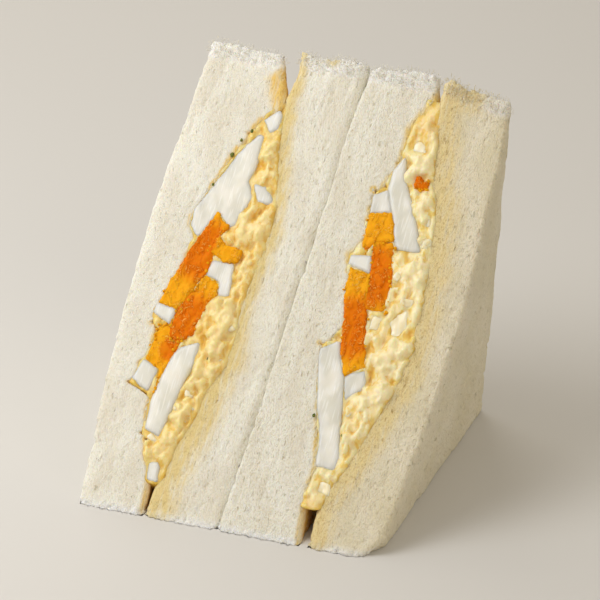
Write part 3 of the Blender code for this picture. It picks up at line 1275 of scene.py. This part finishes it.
@dataclass
class HerbFlecks:
    """Flecks of dried herb at chosen spots of the cut."""

    name: str = "herb_flecks"
    spots: tuple[Size, ...] = (  # x, u and the fleck's size
        (-0.0256, 0.1090, 0.0010),
        (-0.0270, 0.1044, 0.0014),
        (-0.0299, 0.0950, 0.0009),
        (-0.0234, 0.1120, 0.0012),
        (-0.0174, 0.0460, 0.0017),
        (0.0281, 0.0972, 0.0013),
        (0.0151, 0.0360, 0.0012),
        (0.0240, 0.0320, 0.0008),
    )
    height: float = 0.0004

    def build(self, material: bpy.types.Material) -> bpy.types.Object:
        """Make the flecks as one piece.

        Args:
            material: Their finish.

        Returns:
            The finished flecks.
        """
        flecks = []
        for number, (x, u, size) in enumerate(self.spots):
            bpy.ops.mesh.primitive_ico_sphere_add(subdivisions=2, radius=size / 2,
                                                  location=(x, u, self.height), scale=(0.7, 1.0, 0.5))
            fleck = bpy.context.active_object
            Bench.roughen(fleck, size * 0.12, number)
            Bench.place(fleck, fleck.matrix_world)
            flecks.append(fleck)
        joined = Bench.join(flecks, self.name)
        Bench.finish(joined, material, Slot.SALAD)
        return joined


LEFT_BITS: tuple[EggBit, ...] = (
    WhiteBit("egg_left_upper_slice", ("egg_left_upper_white",),
             ((-0.0334, 0.0826), (-0.0318, 0.0806), (-0.0300, 0.0792), (-0.0262, 0.0870), (-0.0224, 0.0836),
              (-0.0206, 0.0844), (-0.0196, 0.0890), (-0.0180, 0.0935), (-0.0206, 0.0978), (-0.0196, 0.1028),
              (-0.0196, 0.1116), (-0.0214, 0.1118), (-0.0240, 0.1082), (-0.0262, 0.1048), (-0.0293, 0.0970),
              (-0.0332, 0.0872)),
             depth=0.016, proud=0.0002, heel=0.4),
    YolkBit("egg_left_upper_core", ("egg_left_upper_yolk",),
            ((-0.0352, 0.0594), (-0.0300, 0.0580), (-0.0252, 0.0694), (-0.0243, 0.0744), (-0.0249, 0.0780),
             (-0.0224, 0.0838), (-0.0265, 0.0876), (-0.0296, 0.0800), (-0.0318, 0.0725), (-0.0340, 0.0660)),
            depth=0.012, proud=0.0001, heel=0.4, core=(-0.0270, 0.0755), core_reach=0.0150),
    WhiteBit("egg_left_middle_block", (),
             ((-0.0249, 0.0694), (-0.0206, 0.0680), (-0.0199, 0.0640), (-0.0168, 0.0644), (-0.0181, 0.0738),
              (-0.0240, 0.0738)), depth=0.010, proud=0.0004),
    YolkBit("egg_left_lower_core", ("egg_left_lower_yolk",),
            ((-0.0302, 0.0500), (-0.0268, 0.0492), (-0.0237, 0.0525), (-0.0224, 0.0600), (-0.0202, 0.0644),
             (-0.0206, 0.0676), (-0.0249, 0.0696), (-0.0300, 0.0585), (-0.0306, 0.0540)),
            depth=0.012, proud=0.0, heel=0.4, core=(-0.0268, 0.0550), core_reach=0.0150),
    WhiteBit("egg_left_side_block", (),
             ((-0.0365, 0.0566), (-0.0309, 0.0536), (-0.0302, 0.0584), (-0.0359, 0.0594)),
             depth=0.008, proud=0.0004),
    YolkBit("yolk_left_small_bit", ("yolk_left_small",),
            ((-0.0352, 0.0430), (-0.0306, 0.0406), (-0.0299, 0.0338), (-0.0290, 0.0390), (-0.0272, 0.0468),
             (-0.0262, 0.0496), (-0.0296, 0.0520), (-0.0312, 0.0545), (-0.0337, 0.0530), (-0.0342, 0.0490)),
            depth=0.008, proud=-0.0002, core=(-0.0285, 0.0470), core_reach=0.0060),
    WhiteBit("white_left_small_bit", ("white_left_small",),
             ((-0.0371, 0.0369), (-0.0317, 0.0345), (-0.0304, 0.0406), (-0.0352, 0.0430)),
             depth=0.007, proud=0.0004),
    WhiteBit("egg_left_lower_slice", ("egg_left_lower_white",),
             ((-0.0293, 0.0238), (-0.0249, 0.0220), (-0.0237, 0.0300), (-0.0224, 0.0388), (-0.0212, 0.0438),
              (-0.0212, 0.0504), (-0.0262, 0.0480), (-0.0274, 0.0460), (-0.0290, 0.0388), (-0.0299, 0.0310)),
             depth=0.014, proud=0.0006, heel=0.4),
    WhiteBit("white_left_foot_bit", ("white_left_foot",),
             ((-0.0253, 0.0100), (-0.0221, 0.0097), (-0.0229, 0.0156), (-0.0256, 0.0150)), depth=0.006),
    WhiteBit("white_left_patch_bit", ("white_left_patch",),
             ((-0.0181, 0.0950), (-0.0168, 0.0922), (-0.0116, 0.0925), (-0.0150, 0.0971), (-0.0188, 0.0975)),
             depth=0.006, proud=0.0002),
    WhiteBit("white_left_top_bit", ("white_left_top",),
             ((-0.0184, 0.1125), (-0.0165, 0.1138), (-0.0164, 0.1180), (-0.0174, 0.1197), (-0.0212, 0.1159)),
             depth=0.006, proud=0.0004),
    YolkBit("crumb_left_bit", ("crumb_left",),
            ((-0.0248, 0.0760), (-0.0205, 0.0738), (-0.0174, 0.0742), (-0.0170, 0.0772), (-0.0196, 0.0782),
             (-0.0220, 0.0784), (-0.0236, 0.0806), (-0.0250, 0.0800)), depth=0.004, proud=0.0006,
            core=(-0.0260, 0.0780), core_reach=0.0040),
)

RIGHT_BITS: tuple[EggBit, ...] = (
    WhiteBit("egg_right_top_slice", ("egg_right_top_white",),
             ((0.0236, 0.0880), (0.0249, 0.0858), (0.0316, 0.0859), (0.0269, 0.0970), (0.0226, 0.1050),
              (0.0204, 0.1120), (0.0182, 0.1078), (0.0182, 0.1025), (0.0213, 0.0950)),
             depth=0.010, proud=0.0006, heel=0.3),
    WhiteBit("white_right_block_bit", ("white_right_block",),
             ((0.0149, 0.0946), (0.0210, 0.0958), (0.0184, 0.1022), (0.0144, 0.1000)),
             depth=0.008, proud=0.0003),
    YolkBit("yolk_right_upper_bit", ("yolk_right_upper",),
            ((0.0154, 0.0852), (0.0172, 0.0836), (0.0184, 0.0868), (0.0236, 0.0880), (0.0210, 0.0958),
             (0.0150, 0.0944)), depth=0.008, proud=0.0002, core=(0.0196, 0.0790), core_reach=0.0120),
    YolkBit("yolk_right_side_bit", ("yolk_right_side",),
            ((0.0204, 0.0680), (0.0263, 0.0676), (0.0260, 0.0776), (0.0244, 0.0826), (0.0238, 0.0876),
             (0.0182, 0.0870), (0.0188, 0.0820), (0.0198, 0.0744)), depth=0.009, proud=0.0,
            core=(0.0205, 0.0770), core_reach=0.0150),
    WhiteBit("egg_right_middle_block", ("egg_right_middle_white",),
             ((0.0130, 0.0794), (0.0194, 0.0779), (0.0186, 0.0829), (0.0130, 0.0822)),
             depth=0.010, proud=0.0005),
    YolkBit("egg_right_middle_core", ("egg_right_middle_yolk",),
            ((0.0183, 0.0525), (0.0202, 0.0485), (0.0257, 0.0518), (0.0244, 0.0538), (0.0226, 0.0606),
             (0.0205, 0.0700), (0.0198, 0.0778), (0.0136, 0.0786), (0.0141, 0.0710), (0.0160, 0.0638),
             (0.0169, 0.0575)),
            depth=0.013, proud=0.0001, heel=0.4, core=(0.0188, 0.0620), core_reach=0.0150),
    WhiteBit("egg_right_middle_end", (),
             ((0.0200, 0.0486), (0.0218, 0.0406), (0.0263, 0.0462), (0.0257, 0.0514)),
             depth=0.010, proud=0.0001),
    WhiteBit("egg_right_bottom_slice", ("egg_right_bottom_white",),
             ((0.0193, 0.0226), (0.0244, 0.0218), (0.0248, 0.0260), (0.0226, 0.0350), (0.0219, 0.0406),
              (0.0201, 0.0484), (0.0180, 0.0530), (0.0163, 0.0578), (0.0116, 0.0547), (0.0120, 0.0515),
              (0.0151, 0.0394), (0.0182, 0.0294)), depth=0.012, proud=0.0004, heel=0.3),
    WhiteBit("white_right_cube_bit", ("white_right_cube",),
             ((0.0228, 0.0622), (0.0264, 0.0620), (0.0262, 0.0664), (0.0230, 0.0666)),
             depth=0.005, proud=0.0, in_salad=True),
    WhiteBit("white_right_oval_bit", ("white_right_oval",),
             ((0.0290, 0.0614), (0.0320, 0.0612), (0.0338, 0.0650), (0.0326, 0.0690), (0.0294, 0.0686),
              (0.0282, 0.0650)), depth=0.005, proud=0.0, in_salad=True),
    WhiteBit("white_right_top_bit", ("white_right_top",),
             ((0.0214, 0.1134), (0.0252, 0.1132), (0.0256, 0.1160), (0.0232, 0.1172), (0.0216, 0.1160)),
             depth=0.004, proud=0.0001, in_salad=True),
    YolkBit("crumb_right_bit", ("crumb_right",),
            ((0.0250, 0.1044), (0.0268, 0.1037), (0.0286, 0.1042), (0.0288, 0.1066), (0.0274, 0.1058),
             (0.0256, 0.1072)), depth=0.004, proud=0.0005, core=(0.0268, 0.1054), core_reach=0.0050),
    WhiteBit("white_right_foot_bit", ("white_right_foot",),
             ((0.0210, 0.0152), (0.0248, 0.0150), (0.0248, 0.0186), (0.0212, 0.0190)),
             depth=0.004, proud=0.0, in_salad=True),
)


SLICES: tuple[BreadSlice, ...] = (
    BreadSlice("bread_1", Side.RIGHT, BreadFinish("crumb_of_slice_1", 0.6, srgb(238, 196, 84)),
               ((0.0, 0.0016), (0.045, 0.0011), (0.050, 0.0030), (0.055, 0.0012), (0.068, 0.0012),
                (0.074, 0.0028), (0.080, 0.0012), (0.100, 0.0014), (0.106, 0.0022), (0.1175, 0.0020),
                (0.1210, 0.0060), (0.1235, 0.0080), (0.128, 0.0074), (0.1315, 0.0014), (0.136, 0.0006)),
               ((0.001, -0.0246), (0.010, -0.0253), (0.020, -0.0281), (0.024, -0.0299), (0.0325, -0.0304),
                (0.036, -0.0371), (0.041, -0.0360), (0.050, -0.0338), (0.057, -0.0363), (0.064, -0.0346),
                (0.0725, -0.0318), (0.079, -0.0311), (0.082, -0.0334), (0.087, -0.0334), (0.097, -0.0293),
                (0.107, -0.0258), (0.112, -0.0234), (0.116, -0.0215), (0.120, -0.0170), (0.126, -0.0187),
                (0.1306, -0.0206), (0.136, -0.0223)),
               ((-0.040, 0.0012), (-0.020, 0.0009)), seed=1),
    BreadSlice("bread_2", Side.LEFT, BreadFinish("crumb_of_slice_2", 0.8, srgb(231, 207, 134)),
               ((0.0, 0.0130), (0.030, 0.0115), (0.060, 0.0075), (0.120, 0.0060), (0.135, 0.0034)),
               ((0.001, -0.0221), (0.0075, -0.0218), (0.020, -0.0199), (0.030, -0.0168), (0.0375, -0.0156),
                (0.045, -0.0130), (0.054, -0.0121), (0.064, -0.0130), (0.071, -0.0121), (0.084, -0.0106),
                (0.0925, -0.0112), (0.112, -0.0156), (0.123, -0.0159), (0.1306, -0.0143), (0.137, -0.0149)),
               ((-0.015, 0.0007), (-0.011, 0.0002), (0.004, 0.0003)), seed=2, tint=0.04, rolled=0.0012),
    BreadSlice("bread_3", Side.RIGHT,
               BreadFinish("crumb_of_slice_3", 1.0, srgb(234, 198, 88), relief_depth=0.00055),
               ((0.0, 0.0018), (0.075, 0.0014), (0.084, 0.0026), (0.092, 0.0014), (0.112, 0.0018),
                (0.120, 0.0040), (0.127, 0.0044), (0.132, 0.0014), (0.136, 0.0006)),
               ((0.001, 0.0194), (0.010, 0.0182), (0.0225, 0.0194), (0.0325, 0.0169), (0.039, 0.0151),
                (0.045, 0.0135), (0.055, 0.0117), (0.062, 0.0160), (0.068, 0.0151), (0.077, 0.0136),
                (0.082, 0.0129), (0.088, 0.0153), (0.099, 0.0144), (0.104, 0.0170), (0.111, 0.0194),
                (0.121, 0.0207), (0.129, 0.0240), (0.137, 0.0219)),
               ((0.004, 0.0006), (0.022, 0.0004)), seed=3, tint=0.05, rolled=0.0),
    BreadSlice("bread_4", Side.LEFT,
               # Slice 4's crumb and shade colours are darker: painted shade for the light falling off to the
               # right.
               BreadFinish("crumb_of_slice_4", 1.4, srgb(234, 213, 152), srgb(234, 226, 204),
                           srgb(226, 217, 190), relief_depth=0.00058),
               ((0.0, 0.0080), (0.040, 0.0110), (0.100, 0.0120), (0.135, 0.0110)),
               ((0.001, 0.0238), (0.012, 0.0233), (0.023, 0.0269), (0.0325, 0.0300), (0.045, 0.0338),
                (0.058, 0.0362), (0.068, 0.0357), (0.087, 0.0344), (0.100, 0.0319), (0.106, 0.0294),
                (0.115, 0.0280), (0.123, 0.0272), (0.130, 0.0266), (0.136, 0.0284)),
               ((0.0275, 0.0032), (0.032, 0.0014), (0.045, -0.0006)), seed=4, tint=0.12),
)


@dataclass
class Sandwich:
    """The whole sandwich: four slices of bread, two fillings and the egg in them."""

    slices: tuple[BreadSlice, ...] = SLICES
    curd_count: int = 12
    curd_size: Point = (0.0014, 0.0028)
    curd_height: Point = (-0.0004, 0.0001)

    def build(self) -> None:
        """Make every piece."""
        yolky = SaladFinish("yolkier_salad", srgb(246, 228, 168), srgb(241, 213, 138), srgb(235, 194, 92))
        salads = (yolky.material(), SaladFinish().material())
        white = WhiteFinish().material()
        creamy = WhiteFinish("creamy_egg_white", srgb(246, 238, 212), srgb(242, 230, 192), depth=0.0006)
        creamy = creamy.material()
        yolk = YolkFinish().material()
        for loaf_slice in self.slices:
            loaf_slice.build()
        halves = (("left", LEFT_BITS, self.slices[:2]), ("right", RIGHT_BITS, self.slices[2:]))
        for number, (half, bits, slices) in enumerate(halves):
            EggSalad(f"egg_salad_{half}", bits, slices, number + 3).build(salads[number])
            for bit in bits:
                plain = creamy if bit.in_salad else white
                bit.build(yolk if isinstance(bit, YolkBit) else plain)
            curds = Curds(f"curds_{half}", slices, bits, number + 21, self.curd_count, self.curd_size,
                          self.curd_height)
            curds.build(creamy)
            YolkCrumbs(f"yolk_crumbs_{half}", bits, number + 31).build(yolk)
        HerbFlecks().build(HerbFinish().material())


@dataclass(frozen=True)
class Lamp:
    """A soft square lamp that faces the sandwich."""

    name: str
    place: Size
    size: float
    power: float  # in watts
    tint: Colour

    def hang(self) -> None:
        """Hang the lamp."""
        data = bpy.data.lights.new(self.name, "AREA")
        data.size = self.size
        data.energy = self.power
        data.color = self.tint[:3]
        lamp = Bench.link(self.name, data)
        lamp.location = self.place
        way = Vector((0, 0, 0.04)) - Vector(self.place)
        lamp.rotation_euler = way.to_track_quat("-Z", "Y").to_euler()


@dataclass
class Studio:
    """The floor, the light and the camera. The camera's place is fitted to the photograph's view."""

    floor_size: float = 6.0
    azimuth: float = 18.74
    elevation: float = 25.50
    roll: float = 1.88
    distance: float = 1.3362
    aim: Vector = Vector((0.0026, 0.0475, 0.0474))  # from the sandwich's front bottom edge
    lens: float = 300.0
    sky: Colour = srgb(250, 241, 226)
    sky_strength: float = 0.50
    lamps: tuple[Lamp, ...] = (
        Lamp("key", (-0.30, -0.15, 0.40), 0.34, 1.68, srgb(251, 251, 252)),
        Lamp("fill", (1.0, -0.7, 0.6), 0.8, 2.8, srgb(255, 244, 226)),
        Lamp("back", (-0.5, 0.6, 0.5), 0.6, 1.8, srgb(255, 251, 244)),
    )

    def floor(self) -> None:
        """Lay the floor."""
        bpy.ops.mesh.primitive_plane_add(size=self.floor_size)
        floor = bpy.context.active_object
        floor.name = "studio_floor"
        floor.data.materials.append(FloorFinish().material())

    def light(self) -> None:
        """Light the scene softly, mostly from the upper left."""
        world = bpy.data.worlds.new("studio")
        world.use_nodes = True
        background = world.node_tree.nodes["Background"]
        background.inputs["Color"].default_value = self.sky
        background.inputs["Strength"].default_value = self.sky_strength
        bpy.context.scene.world = world
        bpy.context.scene.view_settings.view_transform = "Standard"
        for lamp in self.lamps:
            lamp.hang()

    def camera(self) -> None:
        """Set up the camera at the photograph's viewing angle."""
        turn, rise, roll = map(math.radians, (self.azimuth, self.elevation, self.roll))
        back = Vector((math.sin(turn) * math.cos(rise), -math.cos(turn) * math.cos(rise), math.sin(rise)))
        right = Vector((math.cos(turn), math.sin(turn), 0))
        up = back.cross(right)
        across = math.cos(roll) * right + math.sin(roll) * up
        upward = math.cos(roll) * up - math.sin(roll) * right
        place = CUT_FOOT + self.aim + back * self.distance
        data = bpy.data.cameras.new("view")
        data.lens = self.lens
        camera = Bench.link("view", data)
        turned = Matrix((across, upward, back)).transposed().to_4x4()
        camera.matrix_world = Matrix.Translation(place) @ turned
        bpy.context.scene.camera = camera

    def build(self) -> None:
        """Set the scene."""
        self.camera()
        self.light()
        self.floor()


def main() -> None:
    """Build the studio and the sandwich."""
    logging.basicConfig(level=logging.INFO, format="%(name)s: %(message)s")
    Studio().build()
    Sandwich().build()


if __name__ == "__main__":
    main()
